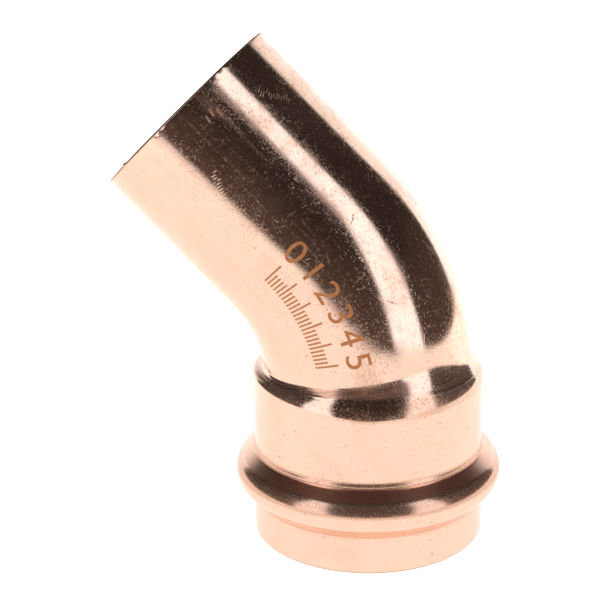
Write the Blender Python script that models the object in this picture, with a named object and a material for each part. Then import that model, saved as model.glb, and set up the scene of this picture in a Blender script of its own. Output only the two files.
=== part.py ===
# Copper press-fit elbow: a 45 degree street bend with one press socket and one plain tube end.
# The socket stands on its mouth at z = 0 and the bend lies in the XZ plane, leaning towards -X.
# The origin is the middle of the bounding box, on the plane that the mouth stands on.

import bpy
import bmesh
from math import atan2, cos, pi, radians, sin, sqrt
from mathutils import Vector

# Driving dimensions, in metres and degrees
TUBE_DIAMETER = 0.034925        # street end, the same outside size as the tube it stands in for
TUBE_WALL = 0.00175
SOCKET_CLEARANCE = 0.00014      # radial play of a tube in the socket's bore
COLLAR_STEP = 0.00024           # how much the collar stands out from the socket's barrel
RING_SECTION = 0.0035           # thickness of the sealing ring
RING_SQUEEZE = 0.00016          # how far the sealing ring reaches inside the tube's outside radius
SEAT_GAP = 0.0003               # room between the sealing ring and its channel
MOUTH_TO_BEAD = 0.0108          # mouth face to the middle of the press bead
BEAD_THINNING = 0.0003          # wall lost where the bead is pressed out
BEAD_FILLET = 0.0010            # hollow curve between the bead and the straight walls
MOUTH_TO_SHOULDER = 0.0302      # mouth face to the shoulder's crease, along the tube's axis
SHOULDER_SPLIT = 0.64           # share of the shoulder that curves outwards, below its crease
SHOULDER_LENGTH_OUTER = 0.0054  # on the outside of the bend
SHOULDER_LENGTH_INNER = 0.0016  # on the inside of the bend, where the metal is pushed together
SHOULDER_LEAN = 0.0012          # rise of the crease on the inside of the bend
STOP_SETBACK = 0.0010           # the step inside the wall lies this much nearer to the mouth
MOUTH_TO_BEND = 0.0275          # mouth face to the start of the bend
BEND_RADIUS = 0.0350
BEND_ANGLE = 45.0
STREET_LENGTH = 0.0286          # straight tube beyond the bend
EDGE_BREAK = 0.00025            # both cut ends are deburred

# Smoothness of the mesh
SEGMENTS = 48
BEAD_STEPS = 10
FILLET_STEPS = 3
SHOULDER_STEPS = 5
BEND_STEPS = 9
RING_SECTION_SEGMENTS = 16

# Sizes that follow
TUBE_RADIUS = TUBE_DIAMETER / 2
TUBE_BORE = TUBE_RADIUS - TUBE_WALL
SOCKET_BORE = TUBE_RADIUS + SOCKET_CLEARANCE
BARREL_RADIUS = SOCKET_BORE + TUBE_WALL
COLLAR_RADIUS = BARREL_RADIUS + COLLAR_STEP
COLLAR_BORE = COLLAR_RADIUS - TUBE_WALL

# The bead is pressed out to suit the ring, so its section and height follow from the ring
RING_SECTION_RADIUS = RING_SECTION / 2
RING_CENTRE = TUBE_RADIUS - RING_SQUEEZE + RING_SECTION_RADIUS
CHANNEL_SECTION_RADIUS = RING_SECTION_RADIUS + SEAT_GAP
CHANNEL_FILLET = BEAD_FILLET + TUBE_WALL
BEAD_SECTION_RADIUS = CHANNEL_SECTION_RADIUS + TUBE_WALL - BEAD_THINNING
BEAD_RADIUS = RING_CENTRE + BEAD_SECTION_RADIUS

BEND = radians(BEND_ANGLE)
BEND_END = MOUTH_TO_BEND + BEND_RADIUS * BEND
TUBE_END = BEND_END + STREET_LENGTH
SHOULDER_TOP = MOUTH_TO_SHOULDER + SHOULDER_LEAN + (1 - SHOULDER_SPLIT) * SHOULDER_LENGTH_OUTER

# The street end's outer corner and the bead are the ends of the bounding box along X
STREET_REACH = (BEND_RADIUS * (1 - cos(BEND)) + STREET_LENGTH * sin(BEND)
                + TUBE_RADIUS * cos(BEND))
SOCKET_X = (STREET_REACH - BEAD_RADIUS) / 2


def azimuths():
    """Angles round the tube; zero faces the inside of the bend."""
    return [2 * pi * i / SEGMENTS for i in range(SEGMENTS)]


def wall_point(station, radius, azimuth):
    """A point at a station along the tube's axis, a radius from it and an angle round it."""
    turn = min(max((station - MOUTH_TO_BEND) / BEND_RADIUS, 0.0), BEND)
    before = min(station, MOUTH_TO_BEND)
    beyond = max(station - BEND_END, 0.0)
    centre = Vector((SOCKET_X - BEND_RADIUS * (1 - cos(turn)) - beyond * sin(turn), 0.0,
                     before + BEND_RADIUS * sin(turn) + beyond * cos(turn)))
    inwards = Vector((-cos(turn), 0.0, -sin(turn)))
    sideways = Vector((0.0, 1.0, 0.0))
    return centre + radius * (cos(azimuth) * inwards + sin(azimuth) * sideways)


def even_ring(station, radius):
    """One ring square to the axis, as a station and a radius for each azimuth."""
    return [(station, radius)] * SEGMENTS


def fillet_curve(bead_centre, section, wall_radius, fillet, side):
    """The hollow curve from a straight wall to the bead's round section, wall first."""
    centre_radius = wall_radius + fillet
    rise = centre_radius - bead_centre
    run = sqrt((section + fillet) ** 2 - rise ** 2)
    centre_station = MOUTH_TO_BEAD + side * run
    end = atan2(rise, run)
    points = []
    for i in range(FILLET_STEPS + 1):
        angle = pi / 2 - (pi / 2 - end) * i / FILLET_STEPS
        points.append((centre_station - side * fillet * cos(angle), centre_radius - fillet * sin(angle)))
    return points


def bead_curve(bead_centre, section, below, above, fillet):
    """Stations and radii from the collar, round the bead and back to the barrel."""
    lower = fillet_curve(bead_centre, section, below, fillet, -1)
    upper = fillet_curve(bead_centre, section, above, fillet, 1)
    start = atan2(lower[-1][1] - bead_centre, lower[-1][0] - MOUTH_TO_BEAD)
    end = atan2(upper[-1][1] - bead_centre, upper[-1][0] - MOUTH_TO_BEAD)
    arc = []
    for i in range(1, BEAD_STEPS):
        angle = start + (end - start) * i / BEAD_STEPS
        arc.append((MOUTH_TO_BEAD + section * cos(angle), bead_centre + section * sin(angle)))
    return lower + arc + upper[::-1]


def shoulder_share(place):
    """How much of the step is done at a place from 0 to 1 along the shoulder."""
    if place < SHOULDER_SPLIT:
        return place ** 2 / SHOULDER_SPLIT
    return 1 - (1 - place) ** 2 / (1 - SHOULDER_SPLIT)


def shoulder_ring(place, below, above, setback):
    """One ring of the shoulder, short and high on the inside of the bend, long on the outside."""
    ring = []
    for azimuth in azimuths():
        inside = ((1 + cos(azimuth)) / 2) ** 2
        length = SHOULDER_LENGTH_OUTER + (SHOULDER_LENGTH_INNER - SHOULDER_LENGTH_OUTER) * inside
        crease = MOUTH_TO_SHOULDER + SHOULDER_LEAN * cos(azimuth) - setback
        station = crease + (place - SHOULDER_SPLIT) * length
        ring.append((station, below + (above - below) * shoulder_share(place)))
    return ring


def shoulder_rings(below, above, setback):
    """The shoulder's rings, from the barrel up to the tube."""
    lower = [SHOULDER_SPLIT * i / SHOULDER_STEPS for i in range(SHOULDER_STEPS)]
    upper = [SHOULDER_SPLIT + (1 - SHOULDER_SPLIT) * i / SHOULDER_STEPS for i in range(SHOULDER_STEPS + 1)]
    return [shoulder_ring(place, below, above, setback) for place in lower + upper]


def wall_rings(bead, collar, barrel, tube, setback):
    """All rings of one side of the wall, between its two deburred ends."""
    section, centre, fillet = bead
    curve = bead_curve(centre, section, collar, barrel, fillet)
    rings = [even_ring(EDGE_BREAK, collar)]
    rings += [even_ring(station, radius) for station, radius in curve]
    rings += shoulder_rings(barrel, tube, setback)
    for i in range(BEND_STEPS + 1):
        rings.append(even_ring(SHOULDER_TOP + (BEND_END - SHOULDER_TOP) * i / BEND_STEPS, tube))
    rings.append(even_ring(TUBE_END - EDGE_BREAK, tube))
    return rings


def make_material(name, colour, metallic, roughness):
    """A Principled material of one finish."""
    material = bpy.data.materials.new(name)
    material.use_nodes = True
    shader = material.node_tree.nodes["Principled BSDF"]
    shader.inputs["Base Color"].default_value = (*colour, 1.0)
    shader.inputs["Metallic"].default_value = metallic
    shader.inputs["Roughness"].default_value = roughness
    return material


def finish(mesh, name, material):
    """Put a mesh in the scene under its piece's name, smooth shaded."""
    mesh.materials.append(material)
    mesh.shade_smooth()
    mesh.set_sharp_from_angle(angle=radians(35))
    piece = bpy.data.objects.new(name, mesh)
    bpy.context.collection.objects.link(piece)
    return piece


def make_body():
    """The one-piece copper fitting: mouth, bead, barrel, shoulder, bend and street end."""
    outside = wall_rings((BEAD_SECTION_RADIUS, RING_CENTRE, BEAD_FILLET),
                         COLLAR_RADIUS, BARREL_RADIUS, TUBE_RADIUS, 0.0)
    inside = wall_rings((CHANNEL_SECTION_RADIUS, RING_CENTRE, CHANNEL_FILLET),
                        COLLAR_BORE, SOCKET_BORE, TUBE_BORE, STOP_SETBACK)
    mouth_outer = even_ring(0.0, COLLAR_RADIUS - EDGE_BREAK)
    mouth_inner = even_ring(0.0, COLLAR_BORE + EDGE_BREAK)
    street_outer = even_ring(TUBE_END, TUBE_RADIUS - EDGE_BREAK)
    street_inner = even_ring(TUBE_END, TUBE_BORE + EDGE_BREAK)
    rings = [mouth_outer] + outside + [street_outer, street_inner] + inside[::-1] + [mouth_inner]

    shape = bmesh.new()
    loops = []
    for ring in rings:
        points = zip(ring, azimuths())
        loops.append([shape.verts.new(wall_point(station, radius, azimuth))
                      for (station, radius), azimuth in points])
    for i, ring in enumerate(loops):
        following = loops[(i + 1) % len(loops)]
        for j in range(SEGMENTS):
            k = (j + 1) % SEGMENTS
            shape.faces.new((ring[j], ring[k], following[k], following[j]))
    bmesh.ops.recalc_face_normals(shape, faces=shape.faces)
    mesh = bpy.data.meshes.new("fitting_body")
    shape.to_mesh(mesh)
    shape.free()
    return finish(mesh, "fitting_body", make_material("bright_copper", (0.93, 0.61, 0.47), 1.0, 0.2))


def make_ring():
    """The sealing ring, seated in the channel inside the bead."""
    shape = bmesh.new()
    section = [shape.verts.new((RING_CENTRE + RING_SECTION_RADIUS * cos(angle), 0.0,
                                RING_SECTION_RADIUS * sin(angle)))
               for angle in (2 * pi * i / RING_SECTION_SEGMENTS for i in range(RING_SECTION_SEGMENTS))]
    edges = [shape.edges.new((section[i - 1], section[i])) for i in range(RING_SECTION_SEGMENTS)]
    bmesh.ops.spin(shape, geom=section + edges, cent=(0, 0, 0), axis=(0, 0, 1), angle=2 * pi,
                   steps=SEGMENTS, use_merge=True)
    bmesh.ops.recalc_face_normals(shape, faces=shape.faces)
    mesh = bpy.data.meshes.new("sealing_ring")
    shape.to_mesh(mesh)
    shape.free()
    piece = finish(mesh, "sealing_ring", make_material("black_rubber", (0.02, 0.02, 0.022), 0.0, 0.55))
    piece.location = (SOCKET_X, 0.0, MOUTH_TO_BEAD)
    return piece


for leftover in list(bpy.data.objects):
    bpy.data.objects.remove(leftover, do_unlink=True)
make_body()
make_ring()
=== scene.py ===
# Bright copper press-fit elbow on a white table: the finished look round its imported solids

from math import atan2, cos, pi, radians, sin, sqrt

import bpy
from mathutils import Matrix, Vector


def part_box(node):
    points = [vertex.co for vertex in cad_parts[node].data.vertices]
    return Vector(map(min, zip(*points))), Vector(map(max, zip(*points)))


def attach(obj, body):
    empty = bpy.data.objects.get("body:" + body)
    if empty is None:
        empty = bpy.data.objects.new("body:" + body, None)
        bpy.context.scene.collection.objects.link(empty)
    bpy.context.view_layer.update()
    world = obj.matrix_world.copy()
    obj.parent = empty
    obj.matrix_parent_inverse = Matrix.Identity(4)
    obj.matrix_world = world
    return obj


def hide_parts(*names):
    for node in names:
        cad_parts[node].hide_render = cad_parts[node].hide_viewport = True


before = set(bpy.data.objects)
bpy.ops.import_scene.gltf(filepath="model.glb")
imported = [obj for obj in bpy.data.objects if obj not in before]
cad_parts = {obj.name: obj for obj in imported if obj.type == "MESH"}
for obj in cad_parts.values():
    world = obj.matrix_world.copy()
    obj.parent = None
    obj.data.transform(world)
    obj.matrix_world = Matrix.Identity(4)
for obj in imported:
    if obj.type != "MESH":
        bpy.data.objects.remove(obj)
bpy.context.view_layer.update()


# Small helpers that build node trees

def feed(tree, socket, value):
    if isinstance(value, bpy.types.NodeSocket):
        tree.links.new(value, socket)
    elif value is not None:
        socket.default_value = value


def addNode(tree, kind, *values, **settings):
    made = tree.nodes.new(kind)
    for name, value in settings.items():
        setattr(made, name, value)
    for socket, value in zip(made.inputs, values):
        feed(tree, socket, value)
    return made


def treeOf(values):  # the tree that the first socket among them belongs to
    return next(value.id_data for value in values if isinstance(value, bpy.types.NodeSocket))


def calc(operation, *values):
    return addNode(treeOf(values), "ShaderNodeMath", *values, operation=operation).outputs[0]


def vectorCalc(operation, *values):
    made = addNode(treeOf(values), "ShaderNodeVectorMath", *values, operation=operation)
    return made.outputs["Value" if operation == "DOT_PRODUCT" else "Vector"]


def joined(x, y, z):
    return addNode(treeOf((x, y, z)), "ShaderNodeCombineXYZ", x, y, z).outputs[0]


def split(vector):
    return addNode(vector.id_data, "ShaderNodeSeparateXYZ", vector).outputs[:3]


def eased(value, low, high, atLow=0.0, atHigh=1.0):  # a soft step from atLow to atHigh
    made = addNode(value.id_data, "ShaderNodeMapRange", value, low, high, atLow, atHigh,
                   interpolation_type="SMOOTHSTEP")
    return made.outputs[0]


def mixColour(share, first, second):
    tree = share.id_data
    made = addNode(tree, "ShaderNodeMix", data_type="RGBA")
    feed(tree, made.inputs[0], share)
    feed(tree, made.inputs[6], first)
    feed(tree, made.inputs[7], second)
    return made.outputs[2]


def noise(vector, scale, detail=2.0, roughness=0.5):
    made = addNode(vector.id_data, "ShaderNodeTexNoise", vector)
    made.inputs["Scale"].default_value = scale
    made.inputs["Detail"].default_value = detail
    made.inputs["Roughness"].default_value = roughness
    return made.outputs[0]


curveSpan = (180.0, 0.01)        # the degrees and the metres that fill a float curve's square


def curveOf(value, points):  # a smooth curve through (degrees, metres), read at degrees / 180
    widest, tallest = curveSpan
    made = addNode(value.id_data, "ShaderNodeFloatCurve")
    feed(value.id_data, made.inputs["Value"], value)
    curve = made.mapping.curves[0]
    for i, (x, y) in enumerate(points):
        if i < len(curve.points):
            curve.points[i].location = (x / widest, y / tallest)
        else:
            curve.points.new(x / widest, y / tallest)
    made.mapping.update()
    return product(made.outputs[0], tallest)


def band(value, low, high, soft):  # 1 between low and high, 0 outside, with soft edges
    rise = eased(value, low - soft, low + soft)
    fall = eased(value, high - soft, high + soft, 1.0, 0.0)
    return product(rise, fall)


def chained(operation, values):
    result = values[0]
    for value in values[1:]:
        result = calc(operation, result, value)
    return result


def total(*values):
    return chained("ADD", values)


def product(*values):
    return chained("MULTIPLY", values)


def largest(*values):
    return chained("MAXIMUM", values)


def unsigned(value):
    return calc("ABSOLUTE", value)


def difference(first, second):
    return calc("SUBTRACT", first, second)


def weighted(marks, shares):  # the sum of the named marks, each with its share
    return total(*[product(marks[name], share) for name, share in shares.items()])


def colour(red, green, blue):
    return (red, green, blue, 1.0)


def newFinish(name):
    material = bpy.data.materials.new(name)
    material.use_nodes = True
    return material, material.node_tree, material.node_tree.nodes["Principled BSDF"]


def addBump(tree, shader, height, distance, strength=1.0):
    bump = addNode(tree, "ShaderNodeBump")
    bump.inputs["Strength"].default_value = strength
    bump.inputs["Distance"].default_value = distance
    tree.links.new(height, bump.inputs["Height"])
    tree.links.new(bump.outputs[0], shader.inputs["Normal"])


def endTree(tree, given, shape):  # real geometry with its finish on it
    real = addNode(tree, "GeometryNodeRealizeInstances", shape)
    painted = addNode(tree, "GeometryNodeSetMaterial", real.outputs[0])
    tree.links.new(given["Finish"], painted.inputs["Material"])
    output = addNode(tree, "NodeGroupOutput")
    tree.links.new(painted.outputs[0], output.inputs[0])


# The camera stands where the photograph was taken from

view = {
    "turn": radians(12.586),     # the camera's place round the fitting, from straight in front
    "pitch": radians(19.698),    # looking down
    "roll": radians(-0.817),
    "distance": 0.290628,
    "targetAcross": -0.011306,   # the point it looks at, from the socket's axis
    "targetHeight": 0.040927,
    "lens": 104.61,
    "sensor": 36.0,
}
elbow = {                        # the fitting's own sizes, in metres, as its solids have them
    "tubeRadius": 0.034925 / 2,
    "wall": 0.00175,
    "socketPlay": 0.00014,
    "collarStep": 0.00024,
    "ringSection": 0.0035,
    "ringSqueeze": 0.00016,
    "seatGap": 0.0003,
    "mouthToBead": 0.0108,
    "beadThinning": 0.0003,
    "beadLift": 0.00018,         # its crest lies a little above its channel's middle
    "beadFillet": 0.0010,        # of the channel inside the bead
    "flankAbove": radians(50.0), # the bead's straight flanks, as the tilt of their faces
    "flankBelow": radians(43.0),
    "flankEase": 0.00020,        # round in the corner where a flank meets the wall
    "mouthToShoulder": 0.0302,
    "shoulderSplit": 0.64,       # the crease's place in the profile
    "shoulderLongest": 0.0054,
    "shoulderLean": 0.0012,
    "stopSetback": 0.0010,
    "mouthToBend": 0.0275,
    "bendRadius": 0.0350,
    "bendAngle": radians(45.0),
    "streetLength": 0.0286,
    "edgeBreak": 0.00025,
    "edgeEase": 0.00006,         # softening of the two corners of the edge break
    "witnessStep": 0.00020,      # shallow step that the press die left above the bead
    "witnessLow": 0.01535,
    "witnessHigh": 0.01635,
    "creaseRidge": 0.00005,      # fine raised line along the shoulder's crease
    "creaseWidth": 0.045,        # as a share of the shoulder
    "rimWear": 0.00003,          # unevenness of the cut edges
    "burrHeight": 0.00025,
    "burrAzimuth": radians(-60.7),
    "around": 240,               # segments round the tube
    "straightStep": 0.0008,      # spacing of the rings
    "insideStep": 0.0016,
    "shoulderRings": 60,         # across the shoulder, and across the tube stop inside it
    "stopRings": 24,
    "rimLand": 0.00003,          # plain strip beside each cut edge
    "shoulderRoom": (0.0004, 0.0005),   # plain wall kept below and above the shoulder
    "rimGrain": 26.0,            # how fine the rims' wear is, with its detail
    "rimDetail": 4.0,
    "rimChosen": (0.45, 0.75),   # the share of the rims that is worn, as a soft step
    "burrWidth": (0.01, 0.03),   # from its flat top to its foot, in radians from its middle
    "weld": 0.000002,            # closes the seam along the tube
}
# length of the shoulder below and above its crease, by the angle from the inside of the bend
shoulderBelow = [(0, 0.00090), (15, 0.00102), (38, 0.0023), (60, 0.0029), (80, 0.0034), (99, 0.0037),
                 (114, 0.0031), (137, 0.0025), (159, 0.0018), (180, 0.0017)]
shoulderAbove = [(0, 0.00050), (15, 0.00058), (38, 0.0013), (60, 0.0017), (80, 0.0021), (100, 0.0024),
                 (114, 0.0027), (137, 0.0035), (150, 0.0032), (163, 0.0028), (180, 0.0027)]
socketBore = elbow["tubeRadius"] + elbow["socketPlay"]
barrelRadius = socketBore + elbow["wall"]
collarRadius = barrelRadius + elbow["collarStep"]
tubeBore = elbow["tubeRadius"] - elbow["wall"]
beadCentre = elbow["tubeRadius"] - elbow["ringSqueeze"] + elbow["ringSection"] / 2
channelSection = elbow["ringSection"] / 2 + elbow["seatGap"]
beadSection = channelSection + elbow["wall"] - elbow["beadThinning"]
bendEnd = elbow["mouthToBend"] + elbow["bendRadius"] * elbow["bendAngle"]
tubeEnd = bendEnd + elbow["streetLength"]
ringLow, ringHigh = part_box("sealing_ring")
socketX = (ringLow.x + ringHigh.x) / 2     # the socket's axis


def makeCamera():
    across = Vector((cos(view["turn"]), sin(view["turn"]), 0))
    ahead = Vector((-sin(view["turn"]) * cos(view["pitch"]), cos(view["turn"]) * cos(view["pitch"]),
                    -sin(view["pitch"])))
    above = across.cross(ahead)
    right = across * cos(view["roll"]) + above * sin(view["roll"])
    up = above * cos(view["roll"]) - across * sin(view["roll"])
    target = Vector((socketX, 0, view["targetHeight"])) + across * view["targetAcross"]
    place = target - ahead * view["distance"]
    data = bpy.data.cameras.new("camera")
    data.lens = view["lens"]
    data.sensor_width = view["sensor"]
    data.clip_start = 0.01
    camera = bpy.data.objects.new("camera", data)
    turned = Matrix((right, up, -ahead)).transposed().to_4x4()
    camera.matrix_world = Matrix.Translation(place) @ turned
    bpy.context.scene.collection.objects.link(camera)
    bpy.context.scene.camera = camera


makeCamera()
print("camera placed")


# White tent with two tall soft boxes and dark gaps, as the polished copper mirrors it

studio = {
    "dark": colour(0.029, 0.022, 0.021),
    "darkLow": colour(0.072, 0.052, 0.047),     # just above the table
    "white": colour(1.42, 1.55, 1.72),
    "backHigh": colour(1.12, 1.20, 1.24),       # the upper part of the backdrop
    "floor": colour(1.02, 1.02, 1.04),
    "floorTop": (-13.0, -11.5),                # the floor beyond the table
    "boxLeftEdge": (36.5, 41.5),               # degrees from the camera's side, soft edge
    "boxSlant": 0.15,                          # this edge leans out with the height
    "boxSlantFrom": 28.0,
    "boxRightEdge": (64.5, 66.5),
    "boxTop": (50.0, 58.0),
    "boxFoot": (-10.0, -6.0),
    "boxLeanStart": 45.0,                      # above this height the boxes lean away
    "boxLean": 0.55,                           # degrees outwards for each degree up
    "backRight": (130.0, 133.0),
    "backLeft": (134.0, 138.0),
    "backTop": (27.0, 35.0),
    "backTopLeft": (14.0, 24.0),
    "darkRise": (-8.0, 25.0),                  # darkLow turns to dark over this height
    "backRise": (-5.0, 25.0),                  # white turns to backHigh over this height
    "backdrop": 1.15,
}


def makeStudio():
    world = bpy.data.worlds.new("studio")
    bpy.context.scene.world = world
    world.use_nodes = True
    tree = world.node_tree
    tree.nodes.clear()
    toward = addNode(tree, "ShaderNodeTexCoord").outputs["Generated"]
    camerasRight = (cos(view["turn"]), sin(view["turn"]), 0)
    camerasSide = (sin(view["turn"]), -cos(view["turn"]), 0)
    across = vectorCalc("DOT_PRODUCT", toward, camerasRight)
    near = vectorCalc("DOT_PRODUCT", toward, camerasSide)
    height = split(toward)[2]
    degrees = 180 / pi
    bearing = product(calc("ARCTAN2", across, near), degrees)
    rise = product(calc("ARCSINE", height), degrees)

    past = largest(difference(rise, studio["boxLeanStart"]), 0.0)
    side = difference(unsigned(bearing), product(past, studio["boxLean"]))
    slant = product(difference(rise, studio["boxSlantFrom"]), studio["boxSlant"])
    inner = eased(difference(side, slant), *studio["boxLeftEdge"])
    outer = eased(side, *studio["boxRightEdge"], 1.0, 0.0)
    top = eased(rise, *studio["boxTop"], 1.0, 0.0)
    foot = eased(rise, *studio["boxFoot"])
    boxes = product(product(inner, outer), product(top, foot))

    right = eased(bearing, *studio["backRight"])
    right = product(right, eased(rise, *studio["backTop"], 1.0, 0.0))
    left = eased(product(bearing, -1.0), *studio["backLeft"])
    left = product(left, eased(rise, *studio["backTopLeft"], 1.0, 0.0))
    behind = total(right, left)
    floor = eased(rise, *studio["floorTop"], 1.0, 0.0)

    dark = mixColour(eased(rise, *studio["darkRise"]), studio["darkLow"], studio["dark"])
    backdrop = mixColour(eased(rise, *studio["backRise"]), studio["white"], studio["backHigh"])
    dark = mixColour(floor, dark, studio["floor"])
    lit = mixColour(calc("MINIMUM", behind, 1.0), dark, backdrop)
    lit = mixColour(boxes, lit, studio["white"])
    light = addNode(tree, "ShaderNodeBackground", lit, 1.0)
    plain = addNode(tree, "ShaderNodeBackground", colour(1, 1, 1), studio["backdrop"])
    eye = addNode(tree, "ShaderNodeLightPath").outputs["Is Camera Ray"]
    shown = addNode(tree, "ShaderNodeMixShader", eye, light.outputs[0], plain.outputs[0])
    output = addNode(tree, "ShaderNodeOutputWorld")
    tree.links.new(shown.outputs[0], output.inputs["Surface"])


makeStudio()
bpy.context.scene.view_settings.view_transform = "Standard"
bpy.context.scene.view_settings.look = "None"
print("studio lit")


# The white table: it glows with painted light, stronger towards its back and its sides

table = {
    "front": 0.205,     # how far it reaches towards the camera
    "back": 0.90,
    "side": 0.30,
    "middle": 0.035,    # beside this it gets lighter
    "gap": 0.0002,      # lies this far below the mouth
    "leftShare": 0.6,   # it gets lighter more slowly to the left
    "lightReach": (-0.02, 0.16),
    "frontLight": 1.10,
    "backLight": 1.50,
    "glow": colour(1.0, 1.0, 0.99),
    "tone": colour(0.10, 0.10, 0.10),
    "matt": 0.9,
}


def makeTable():
    mesh = bpy.data.meshes.new("table")
    side, front, back = table["side"], table["front"], table["back"]
    corners = [(-side, -front), (side, -front), (side, back), (-side, back)]
    turned = Matrix.Rotation(view["turn"], 3, "Z")
    mesh.from_pydata([turned @ Vector((x, y, -table["gap"])) for x, y in corners], [], [(0, 1, 2, 3)])
    material, tree, shader = newFinish("white_table")
    place = addNode(tree, "ShaderNodeTexCoord").outputs["Object"]
    ahead = (-sin(view["turn"]), cos(view["turn"]), 0)
    depth = vectorCalc("DOT_PRODUCT", place, ahead)
    across = vectorCalc("DOT_PRODUCT", place, (cos(view["turn"]), sin(view["turn"]), 0))
    right = calc("MINIMUM", difference(across, table["middle"]), total(depth, table["middle"]))
    left = difference(product(across, -1.0), table["middle"])
    left = product(left, table["leftShare"])
    reach = largest(depth, largest(left, right))
    # painted light: the table glows instead of being lit, more strongly towards its back and its sides
    strength = eased(reach, *table["lightReach"], table["frontLight"], table["backLight"])
    shader.inputs["Base Color"].default_value = table["tone"]
    shader.inputs["Roughness"].default_value = table["matt"]
    shader.inputs["Specular IOR Level"].default_value = 0.0
    shader.inputs["Emission Color"].default_value = table["glow"]
    tree.links.new(strength, shader.inputs["Emission Strength"])
    mesh.materials.append(material)
    piece = bpy.data.objects.new("table", mesh)
    bpy.context.scene.collection.objects.link(piece)


makeTable()
print("table laid")


# Bright copper: the finish follows the tube round its bend, in metres on the unbent tube

copper = {
    "bright": colour(0.93, 0.625, 0.475),
    "edgeOn": colour(1.0, 0.98, 0.95),       # its colour seen at a slant
    "warm": colour(0.90, 0.56, 0.40),        # faint orange clouds
    "worn": colour(0.72, 0.36, 0.23),        # in scratches and rubbed patches, and painted reflection between the collar and the bead
    "dull": colour(0.62, 0.34, 0.22),        # the bore
    "cut": colour(0.60, 0.36, 0.25),         # the deburred edges
    "speck": colour(0.42, 0.24, 0.17),
    "scorched": colour(0.86, 0.34, 0.20),    # painted shade in the groove above the bead, where the copper mirrors its own darker metal
    "polish": 0.08,
    "cloudPull": 0.30,                       # how far the clouds gather the rubbed patches
    "pressPull": 0.05,                       # and how far the press does
    "scorchEnds": 0.4,                       # what is left of the painted groove shade at the groove's two ends
}
# noises in the metal: scale, detail and roughness
grains = {
    "clouds": (1 / 0.0060, 3.0, 0.6),
    "grain": (1 / 0.00036, 3.0, 0.75),
    "fine": (1 / 0.00015, 2.0, 0.6),
    "waves": (1 / 0.0080, 2.0, 0.5),         # the tube's slow waviness
    "haze": (130.0, 5.0, 0.7),
    "smudges": (90.0, 5.0, 0.7),
    "bunches": (190.0, 2.0, 0.5),
    "drawn": (1300.0, 4.0, 0.65),
    "turned": (4200.0, 3.0, 0.7),
    "creases": (2300.0, 2.0, 0.6),
}
stretches = {
    "drawn": (1.0, 1.0, 0.03),               # along the tube
    "turned": (0.03, 0.03, 1.0),             # round it
    "creases": (0.05, 0.05, 1.0),
}
# where each noise shows: a soft step from low to high, and the strength at its two ends
shows = {
    "rubbed": (0.54, 0.70),
    "sparkle": (0.57, 0.72, 0.0, 0.65),
    "crestSparkle": (0.50, 0.64),
    "haze": (0.46, 0.66),
    "smudges": (0.44, 0.64),
    "smudgeGrain": (0.34, 0.62, 0.3, 1.0),
    "drawn": (0.48, 0.62),
    "drawnClouds": (0.32, 0.52),
    "creases": (0.47, 0.60),
    "bunches": (0.40, 0.60, 0.35, 1.0),
    "hairGrain": (0.34, 0.56, 0.35, 1.0),
    "warm": (0.45, 0.72, 0.0, 0.30),
    "neckedWear": (0.35, 0.62, 0.60, 1.0),
    # painted reflection between the collar and the bead: the copper mirrored in itself, streaked along the
    # turned lines
    "junctionWear": (0.45, 0.62, 0.0, 0.40),
    "neckedGlow": (0.42, 0.58, 0.080, 0.210),
    "creaseGlow": (0.42, 0.58, 0.045, 0.145),
}
# where a mark starts along the tube, or round it from the inside of the bend
starts = {
    "collar": (0.0050, 0.0066, 1.0, 0.0),
    "haze": (0.0265, 0.0280),
    "hazeSide": (0.0275, 0.0300),
    "smudges": (0.0340, 0.0420),
    "drawn": (0.040, 0.060),
}
# zones along the tube: low and high station, and how soft their edges are
stationZones = {
    "crest": (0.0113, 0.0135, 0.0003),       # the bead's crown
    "groove": (0.0136, 0.0153, 0.0002),      # between the crown and the die's step
    "shelf": (0.0153, 0.0164, 0.0002),       # the die's step
    "junction": (0.0060, 0.0088, 0.0004),    # between the collar and the bead
    "arcs": (0.0325, 0.0375, 0.0010),
}
# zones round it: near and far distance from the inside of the bend, and their softness
sideZones = {
    "necked": (0.0200, 0.0368, 0.0020),
    "drawn": (0.0300, 0.0390, 0.0015),
    "arcs": (0.0300, 0.0345, 0.0010),
    # where the painted groove shade is full, as the distance from the inside of the bend
    "scorched": (0.0145, 0.0480, 0.0040),
    "polished": (0.0200, 0.0380, 0.0050),
}
# zones of the shoulder, from its foot at 0 to its top at 1
shoulderZones = {
    "swelled": (0.05, elbow["shoulderSplit"], 0.03),
    "necked": (elbow["shoulderSplit"] + 0.02, 0.90, 0.04),
    "aboveCrease": (elbow["shoulderSplit"] + 0.02, 0.96, 0.03),
}
# what each mark adds to the worn colour (wear, and painted reflection between the collar and the bead),
# the roughness, the turned relief, the relief and the scatter
wornShares = {
    "rubbed": 0.20, "hair": 0.26, "drawn": 0.60, "neckedWear": 1.0, "crest": 0.62, "shelf": 0.55,
    "swelled": 0.22, "smudges": 0.14, "nicked": 0.20, "haze": 0.40, "junctionWear": 1.0,
}
roughShares = {
    "rubbed": 0.22, "hair": 0.38, "drawn": 0.18, "necked": 0.10, "crest": 0.06, "groove": 0.20,
    "shelf": 0.16, "haze": 0.10, "nicked": 0.38, "junction": 0.18, "bore": 0.28, "dots": 0.20,
    "cut": 0.35,
}
toolShares = {"necked": 1.8, "junction": 1.8, "crest": 0.20, "collar": 0.12}
reliefShares = {                             # in metres
    "waves": 0.00004, "grain": 0.0000050, "fine": 0.0000030, "hair": -0.0000050,
    "nicked": -0.0000080, "drawn": 0.0000020, "toolMarks": 0.0000080,
}
scatterShares = {
    "crest": 0.150, "groove": 0.065, "swelled": 0.015, "smudges": 0.048, "scuffed": 0.120,
    "creaseGlow": 1.0, "neckedGlow": 1.0,
}
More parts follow.
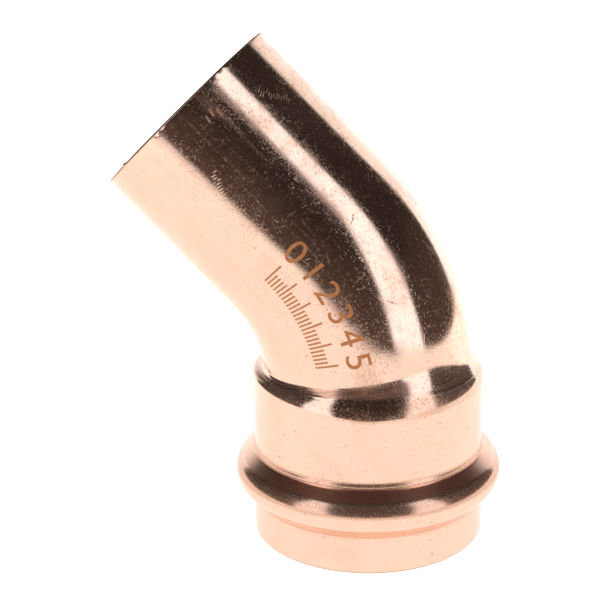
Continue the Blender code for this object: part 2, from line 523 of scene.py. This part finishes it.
# the hair scratches keep off these
sparedShares = {"groove": 1.0, "crest": 0.9, "swelled": 0.45}
# laid over the tint, in this order: mark, share, colour
overlays = [
    # painted shade in the groove above the bead
    ("scorch", 0.85, "scorched"),
    ("arcs", 0.75, "speck"),
    ("creases", 0.55, "speck"),
    ("dots", 0.45, "speck"),
    ("bore", 0.8, "dull"),
    ("cut", 0.8, "cut"),
]
# each sort of hair scratch: cell size, share of cells that have one, half width, half length, curl, shift
hairs = [
    (0.0031, 0.60, 0.000080, 0.0013, 60.0, 0.0),
    (0.0015, 0.50, 0.000055, 0.0006, 110.0, 0.037),
    (0.0008, 0.50, 0.000045, 0.0003, 0.0, 0.071),
    (0.00045, 0.55, 0.000045, 0.00014, 0.0, 0.113),
]
# short brown arcs just above the shoulder, at the side of the tube
arcScratches = (0.0011, 0.55, 0.000050, 0.00038, 900.0, 0.171)
scratchShape = {
    "shiftAlong": 1.7,                       # a sort's shift along the tube, for each metre round it
    "core": 0.4,                             # the share of the width that is at full depth
    "body": 0.6,                             # the share of the length before the ends fade
    "faintest": 0.25,                        # some are deep, most are faint
}
# rows of little nicks: start (azimuth, station), end, how many, length of each, slant
nickRows = [
    ((radians(-144.5), 0.0774), (radians(-157.0), 0.0724), 14, 0.0013, 0.20),
    ((radians(-98.9), 0.0735), (radians(-92.5), 0.0686), 11, 0.0009, -0.15),
    ((radians(-127.0), 0.0795), (radians(-113.0), 0.0788), 4, 0.0016, 0.30),
]
nickShape = {
    "stray": 0.7,                            # how far a nick is out of line, as a share of its length
    "width": (0.10, 0.26),                   # its core and its foot, as shares of the pitch
    "reach": (0.25, 0.5),                    # where its ends start to fade and stop
}
# each sort of speck: cell size, share of cells that have one, size of the smallest ones
speckSorts = [(0.0013, 0.16, 0.00010), (0.0031, 0.16, 0.00015)]
speckSpread = 0.4


def nicks(flat, start, end, count, length, slant):
    first = Vector((start[0] * elbow["tubeRadius"], start[1], 0))
    last = Vector((end[0] * elbow["tubeRadius"], end[1], 0))
    along = (last - first).normalized()
    across = Vector((-along.y, along.x, 0))
    pitch = (last - first).length / count
    local = vectorCalc("SUBTRACT", flat, first)
    side = vectorCalc("DOT_PRODUCT", local, across)
    run = calc("DIVIDE", vectorCalc("DOT_PRODUCT", local, along), pitch)
    run = total(run, product(side, slant / pitch))
    number = calc("FLOOR", run)
    chance = addNode(flat.id_data, "ShaderNodeTexWhiteNoise", noise_dimensions="1D")
    feed(flat.id_data, chance.inputs["W"], number)
    centred = difference(chance.outputs["Value"], 0.5)
    shift = product(centred, length * nickShape["stray"])
    off = unsigned(difference(difference(run, number), 0.5))
    line = eased(off, *nickShape["width"], 1.0, 0.0)
    reach = unsigned(difference(side, shift))
    fades, stops = nickShape["reach"]
    line = product(line, eased(reach, length * fades, length * stops, 1.0, 0.0))
    fromMiddle = unsigned(difference(number, count / 2))
    return product(line, calc("LESS_THAN", fromMiddle, count / 2))


def cellsOf(flat, cell):
    cells = addNode(flat.id_data, "ShaderNodeTexVoronoi", flat, voronoi_dimensions="2D", feature="F1")
    cells.inputs["Scale"].default_value = 1 / cell
    return cells


def scratches(flat, cell, share, width, length, curl, shift):
    moved = vectorCalc("ADD", flat, (shift, shift * scratchShape["shiftAlong"], 0.0))
    cells = cellsOf(moved, cell)
    across, along, _ = split(vectorCalc("SUBTRACT", moved, cells.outputs["Position"]))
    turn, bow, chance = split(cells.outputs["Color"])
    angle = product(turn, 2 * pi)
    sine, cosine = calc("SINE", angle), calc("COSINE", angle)
    run = total(product(across, cosine), product(along, sine))
    off = difference(product(along, cosine), product(across, sine))
    bend = product(difference(bow, 0.5), curl)
    off = total(off, product(bend, product(run, run)))
    line = eased(unsigned(off), width * scratchShape["core"], width, 1.0, 0.0)
    ends = eased(unsigned(run), length * scratchShape["body"], length, 1.0, 0.0)
    chosen = calc("LESS_THAN", chance, share)
    depth = eased(chance, 0.0, share, 1.0, scratchShape["faintest"])
    return product(product(line, ends), product(chosen, depth))


def specks(flat, cell, share, size):
    cells = cellsOf(flat, cell)
    big, _, chance = split(cells.outputs["Color"])
    reach = product(total(big, speckSpread), size / cell)
    spot = calc("LESS_THAN", cells.outputs["Distance"], reach)
    return product(spot, calc("LESS_THAN", chance, share))


def grainOf(unbent, name):
    if name in stretches:
        unbent = vectorCalc("MULTIPLY", unbent, stretches[name])
    return noise(unbent, *grains[name])


def copperMarks(tree):  # the strength of each mark at a point of the surface
    kept = {name: addNode(tree, "ShaderNodeAttribute", attribute_name=name).outputs
            for name in ("unbent", "inner", "place", "edge")}
    unbent = kept["unbent"]["Vector"]
    bore, place, cut = kept["inner"]["Fac"], kept["place"]["Fac"], kept["edge"]["Fac"]
    x, y, station = split(unbent)
    around = product(calc("ARCTAN2", y, x), elbow["tubeRadius"])
    fromInside = unsigned(around)
    flat = joined(around, station, 0.0)
    metal = {name: grainOf(unbent, name) for name in grains}
    zones = {name: band(station, *zone) for name, zone in stationZones.items()}
    sides = {name: band(fromInside, *zone) for name, zone in sideZones.items()}
    shoulder = {name: band(place, *zone) for name, zone in shoulderZones.items()}
    crest, swelled = zones["crest"], shoulder["swelled"]
    necked = product(shoulder["necked"], sides["necked"])
    marks = {"bore": bore, "cut": cut, "crest": crest, "groove": zones["groove"], "swelled": swelled,
             "shelf": zones["shelf"], "junction": zones["junction"], "necked": necked,
             "collar": eased(station, *starts["collar"]),
             "grain": metal["grain"], "fine": metal["fine"], "waves": metal["waves"],
             "warm": eased(metal["clouds"], *shows["warm"])}

    cloudy = product(difference(metal["clouds"], 0.5), copper["cloudPull"])
    pressed = product(total(crest, swelled), copper["pressPull"])
    rubbed = eased(total(metal["grain"], cloudy, pressed), *shows["rubbed"])
    rubbed = product(rubbed, difference(1.0, crest))
    sparkle = total(eased(metal["fine"], *shows["sparkle"]),
                    product(crest, eased(metal["fine"], *shows["crestSparkle"])))
    clear = difference(1.0, zones["groove"])
    marks["rubbed"] = product(largest(rubbed, sparkle), clear)
    marks["haze"] = product(eased(metal["haze"], *shows["haze"]),
                            eased(station, *starts["haze"]),
                            eased(fromInside, *starts["hazeSide"]))
    marks["smudges"] = product(eased(metal["smudges"], *shows["smudges"]),
                               eased(metal["fine"], *shows["smudgeGrain"]),
                               eased(station, *starts["smudges"]))
    marks["drawn"] = product(eased(metal["drawn"], *shows["drawn"]),
                             eased(metal["clouds"], *shows["drawnClouds"]),
                             eased(station, *starts["drawn"]), sides["drawn"])
    marks["creases"] = product(eased(metal["creases"], *shows["creases"]), necked)

    # lines turned round the tube by the dies
    marks["toolMarks"] = product(metal["turned"], weighted(marks, toolShares))
    # between the collar and the bead the worn tint is painted reflection of the copper in itself
    for name, zone in (("neckedWear", necked), ("junctionWear", zones["junction"]),
                       ("neckedGlow", necked), ("creaseGlow", shoulder["aboveCrease"])):
        marks[name] = product(zone, eased(metal["turned"], *shows[name]))
    marks["scuffed"] = product(swelled, difference(1.0, sides["polished"]))
    # painted shade in the groove above the bead, full part of the way round, weaker near the inside and
    # the outside of the bend
    scorched = product(sides["scorched"], 1 - copper["scorchEnds"])
    marks["scorch"] = product(zones["groove"], total(scorched, copper["scorchEnds"]))

    hair = largest(*[scratches(flat, *sort) for sort in hairs])
    bunches = eased(metal["bunches"], *shows["bunches"])
    bunches = product(bunches, difference(1.0, weighted(marks, sparedShares)))
    marks["hair"] = product(hair, eased(metal["grain"], *shows["hairGrain"]), bunches)
    marks["nicked"] = largest(*[nicks(flat, *row) for row in nickRows])
    marks["arcs"] = product(scratches(flat, *arcScratches), zones["arcs"], sides["arcs"])
    marks["dots"] = largest(*[specks(flat, *sort) for sort in speckSorts])
    return marks


def copperMaterial():
    material, tree, shader = newFinish("bright_copper_finish")
    marks = copperMarks(tree)
    tint = mixColour(marks["warm"], copper["bright"], copper["warm"])
    # wear, and painted reflection of the copper in itself between the collar and the bead
    worn = calc("MINIMUM", weighted(marks, wornShares), 1.0)
    tint = mixColour(worn, tint, copper["worn"])
    for name, share, over in overlays:
        tint = mixColour(product(marks[name], share), tint, copper[over])
    tree.links.new(tint, shader.inputs["Base Color"])
    roughness = total(copper["polish"], weighted(marks, roughShares))
    tree.links.new(roughness, shader.inputs["Roughness"])
    addBump(tree, shader, weighted(marks, reliefShares), 1.0)
    # scratches too fine to see scatter a little light where the dies pressed hardest
    metallic = difference(1.0, weighted(marks, scatterShares))
    tree.links.new(metallic, shader.inputs["Metallic"])
    shader.inputs["Specular Tint"].default_value = copper["edgeOn"]
    return material


# One tube, swelled into a socket with a bead and bent: a profile turned round the tube's axis

def straightRun(start, end, radius, step):
    count = max(2, int(abs(end - start) / step))
    return [(start + (end - start) * i / count, radius) for i in range(1, count)]


def filletCurve(section, wallRadius, fillet, side, steps=8):
    rise = wallRadius + fillet - beadCentre
    run = sqrt((section + fillet) ** 2 - rise ** 2)
    middle = elbow["mouthToBead"] + side * run
    points = []
    for i in range(steps + 1):
        angle = pi / 2 - (pi / 2 - atan2(rise, run)) * i / steps
        points.append((middle - side * fillet * cos(angle), wallRadius + fillet - fillet * sin(angle)))
    return points


def beadCurve(section, below, above, fillet, steps=30):
    lower = filletCurve(section, below, fillet, -1)
    upper = filletCurve(section, above, fillet, 1)
    centre = elbow["mouthToBead"]
    start = atan2(lower[-1][1] - beadCentre, lower[-1][0] - centre)
    end = atan2(upper[-1][1] - beadCentre, upper[-1][0] - centre)
    arc = []
    for i in range(1, steps):
        angle = start + (end - start) * i / steps
        arc.append((centre + section * cos(angle), beadCentre + section * sin(angle)))
    return lower + arc + upper[::-1]


def flankedBead(section, below, above, steps=36, flankSteps=8, cornerSteps=6):
    # the round crest, a straight flank on each side, and an eased corner where it meets the wall
    centre, ease = elbow["mouthToBead"] + elbow["beadLift"], elbow["flankEase"]
    points = []
    for i in range(steps + 1):
        angle = -elbow["flankBelow"] + (elbow["flankAbove"] + elbow["flankBelow"]) * i / steps
        points.append((centre + section * sin(angle), beadCentre + section * cos(angle)))
    sides = []
    for end, wallRadius, tilt, side in ((points[0], below, elbow["flankBelow"], -1),
                                        (points[-1], above, elbow["flankAbove"], 1)):
        slope = cos(tilt) / sin(tilt)                       # rise along the axis for each step inwards
        foot = end[0] + side * slope * (end[1] - wallRadius)
        cutBack = ease * sqrt(1 + slope * slope)
        middle = (foot - side * ease * slope, wallRadius + ease)
        flank, corner = [], []
        for i in range(1, flankSteps + 1):
            flank.append(tuple(a + (b - a) * i / flankSteps for a, b in zip(end, middle)))
        for i in range(1, cornerSteps + 1):
            share = i / cornerSteps
            bow = (1 - share) ** 2
            past = foot + side * cutBack
            station = bow * middle[0] + 2 * share * (1 - share) * foot + share ** 2 * past
            radius = bow * middle[1] + (2 * share * (1 - share) + share ** 2) * wallRadius
            corner.append((station, radius))
        sides.append(flank + corner)
    return sides[0][::-1] + points + sides[1]


def brokenEdge(station, radius, away, inwards):  # the deburred corner of a cut end, its two corners eased
    size, ease = elbow["edgeBreak"], elbow["edgeEase"]
    steps = ((size + ease, 0), (size + ease * 0.2, ease * 0.1), (size - ease * 0.6, ease * 0.7),
             (ease * 0.7, size - ease * 0.6), (ease * 0.1, size + ease * 0.2), (0, size + ease))
    return [(station + away * along, radius - inwards * across) for along, across in steps]


def shoulderShare(place):
    part = elbow["shoulderSplit"]
    if place < part:
        return place ** 2 / part
    return 1 - (1 - place) ** 2 / (1 - part)


def creaseRise(place):  # height of the fine ridge along the crease
    return elbow["creaseRidge"] * max(0.0, 1 - abs(place - elbow["shoulderSplit"]) / elbow["creaseWidth"])


def witnessRise(station):  # the barrel is a little wider below the witness line
    share = (elbow["witnessHigh"] - station) / (elbow["witnessHigh"] - elbow["witnessLow"])
    share = min(max(share, 0.0), 1.0)
    return elbow["witnessStep"] * share * share * (3 - 2 * share)


def wallProfile(section, fillet, collar, barrel, tube, setback, step, marked, witnessSteps=10):
    # stations and radii from the mouth up; the third number is the place along the shoulder
    start = elbow["edgeBreak"] + elbow["edgeEase"]
    below, above = -1.0, 2.0
    if marked:
        curve = flankedBead(section, collar, barrel + elbow["witnessStep"])
    else:
        curve = beadCurve(section, collar, barrel, fillet)
    beside = start + elbow["rimLand"]
    points = [(beside, collar)] + straightRun(beside, curve[0][0], collar, step) + curve
    foot = curve[-1][0]
    if marked:
        low, high = elbow["witnessLow"], elbow["witnessHigh"]
        points.append((low, barrel + elbow["witnessStep"]))
        for i in range(1, witnessSteps + 1):
            foot = low + (high - low) * i / witnessSteps
            points.append((foot, barrel + witnessRise(foot)))
    crease, longest = elbow["mouthToShoulder"] - setback, elbow["shoulderLongest"]
    roomBelow, roomAbove = elbow["shoulderRoom"]
    low = crease - elbow["shoulderLean"] - elbow["shoulderSplit"] * longest - roomBelow
    points += straightRun(foot, low, barrel, step)
    points = [(station, radius, below) for station, radius in points]
    points.append((low, barrel, below))
    steps = elbow["shoulderRings"] if marked else elbow["stopRings"]
    for i in range(steps + 1):
        place = i / steps
        radius = barrel + (tube - barrel) * shoulderShare(place)
        points.append((crease, radius + (creaseRise(place) if marked else 0.0), place))
    high = crease + elbow["shoulderLean"] + (1 - elbow["shoulderSplit"]) * longest + roomAbove
    points.append((high, tube, above))
    run = straightRun(high, tubeEnd - beside, tube, step)
    points += [(station, radius, above) for station, radius in run]
    points.append((tubeEnd - beside, tube, above))
    return points


def bodyProfile():
    # station, radius, place along the shoulder, 1 on the bore, the inner step's setback, 1 on a cut edge
    outside = wallProfile(beadSection, elbow["beadFillet"], collarRadius, barrelRadius,
                          elbow["tubeRadius"], 0.0, elbow["straightStep"], True)
    inside = wallProfile(channelSection, elbow["beadFillet"] + elbow["wall"], collarRadius - elbow["wall"],
                         socketBore, tubeBore, elbow["stopSetback"], elbow["insideStep"], False)
    mouthOut = brokenEdge(0.0, collarRadius, 1, 1)
    mouthIn = brokenEdge(0.0, collarRadius - elbow["wall"], 1, -1)
    streetOut = brokenEdge(tubeEnd, elbow["tubeRadius"], -1, 1)
    streetIn = brokenEdge(tubeEnd, tubeBore, -1, -1)
    points = [(s, r, -1.0, 0.0, 0.0, 1.0) for s, r in mouthOut[::-1]]
    points += [(s, r, p, 0.0, 0.0, 0.0) for s, r, p in outside]
    points += [(s, r, 2.0, 0.0, 0.0, 1.0) for s, r in streetOut]
    points += [(s, r, 2.0, 1.0, 0.0, 1.0) for s, r in streetIn[::-1]]
    points += [(s, r, p, 1.0, elbow["stopSetback"], 0.0) for s, r, p in inside[::-1]]
    points += [(s, r, -1.0, 1.0, 0.0, 1.0) for s, r in mouthIn]
    points.append(points[0])
    return points


def treeInput(tree, name, kind, value=None):
    made = tree.interface.new_socket(name, in_out="INPUT", socket_type=kind)
    if value is not None:
        made.default_value = value


def fieldOf(tree, name):
    return addNode(tree, "GeometryNodeInputNamedAttribute", name, data_type="FLOAT").outputs[0]


def bentPlace(given, station, radius, azimuth):  # the point at a station, a radius and an angle
    beyondStart = difference(station, given["Straight before bend"])
    turn = calc("DIVIDE", beyondStart, given["Bend radius"])
    turn = calc("MINIMUM", largest(turn, 0.0), given["Bend angle"])
    arc = product(given["Bend angle"], given["Bend radius"])
    before = calc("MINIMUM", station, given["Straight before bend"])
    beyond = largest(difference(beyondStart, arc), 0.0)
    sine, cosine = calc("SINE", turn), calc("COSINE", turn)
    out = product(given["Bend radius"], difference(1.0, cosine))
    out = total(out, product(beyond, sine))
    up = total(before, product(given["Bend radius"], sine))
    up = total(up, product(beyond, cosine))
    reach = product(radius, calc("COSINE", azimuth))
    x = difference(difference(given["Socket axis"], out), product(reach, cosine))
    y = product(radius, calc("SINE", azimuth))
    z = difference(up, product(reach, sine))
    return joined(x, y, z)


def stored(tree, shape, name, value, kind="FLOAT"):
    made = addNode(tree, "GeometryNodeStoreNamedAttribute", data_type=kind, domain="POINT")
    tree.links.new(shape, made.inputs["Geometry"])
    made.inputs["Name"].default_value = name
    tree.links.new(value, made.inputs["Value"])
    return made.outputs[0]


bendInputs = {
    "Socket axis": socketX,
    "Straight before bend": elbow["mouthToBend"],
    "Bend radius": elbow["bendRadius"],
    "Bend angle": elbow["bendAngle"],
}
edgeInputs = {
    "Rim wear": elbow["rimWear"],
    "Burr height": elbow["burrHeight"],
    "Burr azimuth": elbow["burrAzimuth"] + 2 * pi,
}
shoulderInputs = {
    "Crease height": elbow["mouthToShoulder"],
    "Crease lean": elbow["shoulderLean"],
    "Shoulder split": elbow["shoulderSplit"],
    "Shoulder drop": barrelRadius - elbow["tubeRadius"],
}


def bodyTree():
    tree = bpy.data.node_groups.new("turned_and_bent_tube", "GeometryNodeTree")
    treeInput(tree, "Profile", "NodeSocketGeometry")
    treeInput(tree, "Segments around", "NodeSocketInt", elbow["around"])
    for name, value in {**bendInputs, **shoulderInputs, **edgeInputs}.items():
        treeInput(tree, name, "NodeSocketFloat", value)
    treeInput(tree, "Finish", "NodeSocketMaterial")
    tree.interface.new_socket("Geometry", in_out="OUTPUT", socket_type="NodeSocketGeometry")
    given = addNode(tree, "NodeGroupInput").outputs
    profile = given["Profile"]

    count = addNode(tree, "GeometryNodeAttributeDomainSize", profile).outputs["Point Count"]
    sides = total(given["Segments around"], 1)
    grid = addNode(tree, "GeometryNodeMeshGrid", 1.0, 1.0, sides, count)
    index = addNode(tree, "GeometryNodeInputIndex").outputs[0]
    along = calc("MODULO", index, count)
    column = calc("FLOOR", calc("DIVIDE", total(index, 0.5), count))
    azimuth = calc("DIVIDE", product(column, 2 * pi), given["Segments around"])

    def sampled(value, kind="FLOAT"):
        made = addNode(tree, "GeometryNodeSampleIndex", data_type=kind, domain="POINT")
        tree.links.new(profile, made.inputs["Geometry"])
        tree.links.new(value, made.inputs["Value"])
        tree.links.new(along, made.inputs["Index"])
        return made.outputs[0]

    position = addNode(tree, "GeometryNodeInputPosition").outputs[0]
    radius, _, station = split(sampled(position, "FLOAT_VECTOR"))
    place, inner, setback, edge = [sampled(fieldOf(tree, name))
                                   for name in ("place", "inner", "setback", "edge")]

    # the shoulder's two parts change their length with the angle from the inside of the bend
    cosine = calc("COSINE", azimuth)
    folded = unsigned(difference(calc("DIVIDE", azimuth, pi), 1.0))
    folded = difference(1.0, folded)
    lower = curveOf(folded, shoulderBelow)
    upper = curveOf(folded, shoulderAbove)
    creasePlace = given["Shoulder split"]
    below = largest(difference(1.0, calc("DIVIDE", place, creasePlace)), 0.0)
    above = calc("DIVIDE", difference(place, creasePlace), difference(1.0, creasePlace))
    above = largest(above, 0.0)
    crease = total(given["Crease height"], product(given["Crease lean"], cosine))
    crease = difference(crease, setback)
    offset = difference(product(above, upper), product(below, lower))
    # the place is -1 below the shoulder and 2 above it
    inShoulder = calc("LESS_THAN", unsigned(difference(place, 0.5)), 0.75)
    wanted = total(crease, offset)
    station = total(station, product(difference(wanted, station), inShoulder))
    # the crease lies deeper where the part below it is the longer one, so that both slopes meet there
    depth = calc("DIVIDE", lower, total(lower, upper))
    near = largest(difference(difference(1.0, below), above), 0.0)
    weight = product(calc("POWER", near, 2.0), inShoulder)
    deeper = product(difference(depth, creasePlace), weight)
    radius = difference(radius, product(deeper, given["Shoulder drop"]))

    # the cut edges are a little uneven, and one burr stands up at the street end
    ragged = addNode(tree, "ShaderNodeTexNoise", noise_dimensions="1D")
    tree.links.new(azimuth, ragged.inputs["W"])
    ragged.inputs["Scale"].default_value = elbow["rimGrain"]
    ragged.inputs["Detail"].default_value = elbow["rimDetail"]
    loss = product(eased(ragged.outputs[0], *elbow["rimChosen"]), given["Rim wear"])
    radius = difference(radius, product(loss, edge))
    away = unsigned(difference(azimuth, given["Burr azimuth"]))
    burr = product(eased(away, *elbow["burrWidth"], 1.0, 0.0), product(edge, given["Burr height"]))
    atEnd = calc("GREATER_THAN", station, tubeEnd - elbow["edgeBreak"] * 0.9)
    outside = calc("GREATER_THAN", radius, elbow["tubeRadius"] - elbow["edgeBreak"])
    station = total(station, product(burr, atEnd, outside))

    moved = addNode(tree, "GeometryNodeSetPosition", grid.outputs[0])
    tree.links.new(bentPlace(given, station, radius, azimuth), moved.inputs["Position"])
    straight = joined(product(radius, cosine), product(radius, calc("SINE", azimuth)), station)
    # the fields depend on the grid's own index, so they are kept before the seam is closed
    shape = stored(tree, moved.outputs[0], "unbent", straight, "FLOAT_VECTOR")
    for name, value in (("inner", inner), ("place", place), ("edge", edge)):
        shape = stored(tree, shape, name, value)
    closed = addNode(tree, "GeometryNodeMergeByDistance", shape)
    closed.inputs["Distance"].default_value = elbow["weld"]
    smooth = addNode(tree, "GeometryNodeSetShadeSmooth", closed.outputs[0])
    endTree(tree, given, smooth.outputs[0])
    return tree


def setInputs(modifier, values):
    for item in modifier.node_group.interface.items_tree:
        if item.item_type == "SOCKET" and item.in_out == "INPUT" and item.name in values:
            modifier[item.identifier] = values[item.name]


def applied(source, name):  # the modifier's result as a plain mesh in a new object
    bpy.context.view_layer.update()
    evaluated = source.evaluated_get(bpy.context.evaluated_depsgraph_get())
    mesh = bpy.data.meshes.new_from_object(evaluated)
    mesh.name = name
    bpy.data.objects.remove(source)
    piece = bpy.data.objects.new(name, mesh)
    bpy.context.scene.collection.objects.link(piece)
    return piece


def makeBody():
    points = bodyProfile()
    mesh = bpy.data.meshes.new("elbow_profile")
    mesh.from_pydata([(r, 0, s) for s, r, *_ in points], [(i, i + 1) for i in range(len(points) - 1)], [])
    for name, column in (("place", 2), ("inner", 3), ("setback", 4), ("edge", 5)):
        values = mesh.attributes.new(name, "FLOAT", "POINT")
        values.data.foreach_set("value", [point[column] for point in points])
    source = bpy.data.objects.new("elbow_profile", mesh)
    bpy.context.scene.collection.objects.link(source)
    material = copperMaterial()
    modifier = source.modifiers.new("turned_and_bent", "NODES")
    modifier.node_group = bodyTree()
    setInputs(modifier, {**bendInputs, **shoulderInputs, **edgeInputs,
                         "Segments around": elbow["around"], "Finish": material})
    piece = applied(source, "copper_elbow")
    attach(piece, "root")
    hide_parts("fitting_body")
    return piece


body = makeBody()
print("copper elbow:", len(body.data.vertices), "points,", len(body.data.polygons), "faces")


# A plain etched scale along the bend: numbers and short lines

scale = {
    "numbers": "012345",
    "numberSize": 0.0058,
    "numberAzimuth": radians(-92.6),     # the foot of the numbers
    "lineAzimuth": radians(-75.0),       # the foot of the lines
    "startStation": 0.0550,
    "pitch": 0.0038,                     # from number to number
    "linesPerNumber": 5,
    "longLine": 0.0040,
    "shortLine": 0.0024,
    "stroke": 0.00034,
    "lift": 0.000016,                    # stands this far out of the copper
    "sunk": 0.000030,
    "ink": colour(0.62, 0.20, 0.060),
    "inkPale": colour(0.78, 0.33, 0.13),
    "burntGrain": (2600.0, 3.0, 0.7),    # scale, detail and roughness of its mottling
    "metallic": 0.35,
    "rough": (0.45, 0.65),
    "relief": 0.000010,
    "refined": 2,                        # subdivisions, so that it follows the tube
    "lineParts": 9,                      # points along each line
    "weld": 0.000001,
}


def etchedMaterial():
    material, tree, shader = newFinish("etched_brown")
    place = addNode(tree, "ShaderNodeTexCoord").outputs["Object"]
    burnt = noise(place, *scale["burntGrain"])
    tint = mixColour(eased(burnt, 0.35, 0.70), scale["ink"], scale["inkPale"])
    tree.links.new(tint, shader.inputs["Base Color"])
    tree.links.new(eased(burnt, 0.3, 0.7, *scale["rough"]), shader.inputs["Roughness"])
    shader.inputs["Metallic"].default_value = scale["metallic"]
    addBump(tree, shader, burnt, scale["relief"])
    return material


scaleInputs = {
    "Number size": scale["numberSize"],
    "Pitch": scale["pitch"],
    "Line pitch": scale["pitch"] / scale["linesPerNumber"],
    "Long line": scale["longLine"],
    "Short line": scale["shortLine"],
    "Stroke": scale["stroke"],
    "Start station": scale["startStation"],
    "Number azimuth": scale["numberAzimuth"],
    "Line azimuth": scale["lineAzimuth"],
    "Lift": scale["lift"],
    "Sunk": scale["sunk"],
    "Tube radius": elbow["tubeRadius"],
}


def scaleTree():
    tree = bpy.data.node_groups.new("etched_scale", "GeometryNodeTree")
    for name, value in {**bendInputs, **scaleInputs}.items():
        treeInput(tree, name, "NodeSocketFloat", value)
    treeInput(tree, "Finish", "NodeSocketMaterial")
    tree.interface.new_socket("Geometry", in_out="OUTPUT", socket_type="NodeSocketGeometry")
    given = addNode(tree, "NodeGroupInput").outputs
    flat = addNode(tree, "GeometryNodeJoinGeometry")

    apart = difference(given["Line azimuth"], given["Number azimuth"])
    rise = product(apart, given["Tube radius"])
    for i, number in enumerate(scale["numbers"]):
        written = addNode(tree, "GeometryNodeStringToCurves", align_x="CENTER")
        written.inputs["String"].default_value = number
        tree.links.new(given["Number size"], written.inputs["Size"])
        filled = addNode(tree, "GeometryNodeFillCurve", mode="TRIANGLES")
        real = addNode(tree, "GeometryNodeRealizeInstances", written.outputs[0])
        tree.links.new(real.outputs[0], filled.inputs["Curve"])
        moved = addNode(tree, "GeometryNodeTransform", filled.outputs[0])
        shift = product(given["Pitch"], float(i))
        feed(tree, moved.inputs["Translation"], joined(shift, rise, 0.0))
        tree.links.new(moved.outputs[0], flat.inputs[0])

    count = (len(scale["numbers"]) - 1) * scale["linesPerNumber"] + 1
    row = addNode(tree, "GeometryNodeMeshLine")
    row.inputs["Count"].default_value = count
    feed(tree, row.inputs["Offset"], joined(given["Line pitch"], 0.0, 0.0))
    index = addNode(tree, "GeometryNodeInputIndex").outputs[0]
    isLong = calc("COMPARE", calc("MODULO", index, float(scale["linesPerNumber"])), 0.0, 0.1)
    extra = product(isLong, difference(given["Long line"], given["Short line"]))
    length = total(given["Short line"], extra)
    square = addNode(tree, "GeometryNodeMeshGrid", 1.0, 1.0, 2, scale["lineParts"])
    raised = addNode(tree, "GeometryNodeTransform", square.outputs[0])
    raised.inputs["Translation"].default_value = (0.0, 0.5, 0.0)
    lines = addNode(tree, "GeometryNodeInstanceOnPoints", row.outputs[0])
    tree.links.new(raised.outputs[0], lines.inputs["Instance"])
    feed(tree, lines.inputs["Scale"], joined(given["Stroke"], length, 1.0))
    realLines = addNode(tree, "GeometryNodeRealizeInstances", lines.outputs[0])
    tree.links.new(realLines.outputs[0], flat.inputs[0])

    fineMesh = addNode(tree, "GeometryNodeSubdivideMesh", flat.outputs[0])
    fineMesh.inputs["Level"].default_value = scale["refined"]
    thick = addNode(tree, "GeometryNodeExtrudeMesh", fineMesh.outputs[0])
    thick.inputs["Individual"].default_value = False
    depth = total(given["Lift"], given["Sunk"])
    outwards = addNode(tree, "ShaderNodeCombineXYZ", 0.0, 0.0, 1.0)
    tree.links.new(outwards.outputs[0], thick.inputs["Offset"])
    feed(tree, thick.inputs["Offset Scale"], depth)
    turnedOver = addNode(tree, "GeometryNodeFlipFaces", fineMesh.outputs[0])
    both = addNode(tree, "GeometryNodeJoinGeometry")
    tree.links.new(turnedOver.outputs[0], both.inputs[0])
    tree.links.new(thick.outputs[0], both.inputs[0])

    x, y, z = split(addNode(tree, "GeometryNodeInputPosition").outputs[0])
    station = difference(given["Start station"], x)
    azimuth = difference(given["Line azimuth"], calc("DIVIDE", y, given["Tube radius"]))
    radius = difference(total(given["Tube radius"], z), given["Sunk"])
    wrapped = addNode(tree, "GeometryNodeSetPosition", both.outputs[0])
    tree.links.new(bentPlace(given, station, radius, azimuth), wrapped.inputs["Position"])
    closed = addNode(tree, "GeometryNodeMergeByDistance", wrapped.outputs[0])
    closed.inputs["Distance"].default_value = scale["weld"]
    endTree(tree, given, closed.outputs[0])
    return tree


def makeScale():
    mesh = bpy.data.meshes.new("etched_scale_source")
    source = bpy.data.objects.new("etched_scale_source", mesh)
    bpy.context.scene.collection.objects.link(source)
    modifier = source.modifiers.new("etched_scale", "NODES")
    modifier.node_group = scaleTree()
    setInputs(modifier, {**bendInputs, **scaleInputs, "Finish": etchedMaterial()})
    piece = applied(source, "etched_scale")
    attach(piece, "root")
    return piece


marks = makeScale()
print("etched scale:", len(marks.data.polygons), "faces")


# The rubber ring keeps its own solid and gets a moulded finish

rubber = {
    "dark": colour(0.014, 0.014, 0.015),
    "pale": colour(0.030, 0.030, 0.031),
    "grain": (900.0, 3.0),      # scale and detail of its mottling
    "rough": (0.42, 0.62),
    "relief": 0.00004,
    "reliefShare": 0.25,
}


def rubberMaterial():
    material, tree, shader = newFinish("black_rubber_finish")
    place = addNode(tree, "ShaderNodeTexCoord").outputs["Object"]
    grain = noise(place, *rubber["grain"])
    tint = mixColour(grain, rubber["dark"], rubber["pale"])
    tree.links.new(tint, shader.inputs["Base Color"])
    tree.links.new(eased(grain, 0.3, 0.7, *rubber["rough"]), shader.inputs["Roughness"])
    addBump(tree, shader, grain, rubber["relief"], rubber["reliefShare"])
    return material


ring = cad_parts["sealing_ring"]
ring.material_slots[0].material = rubberMaterial()
print("rubber ring finished")
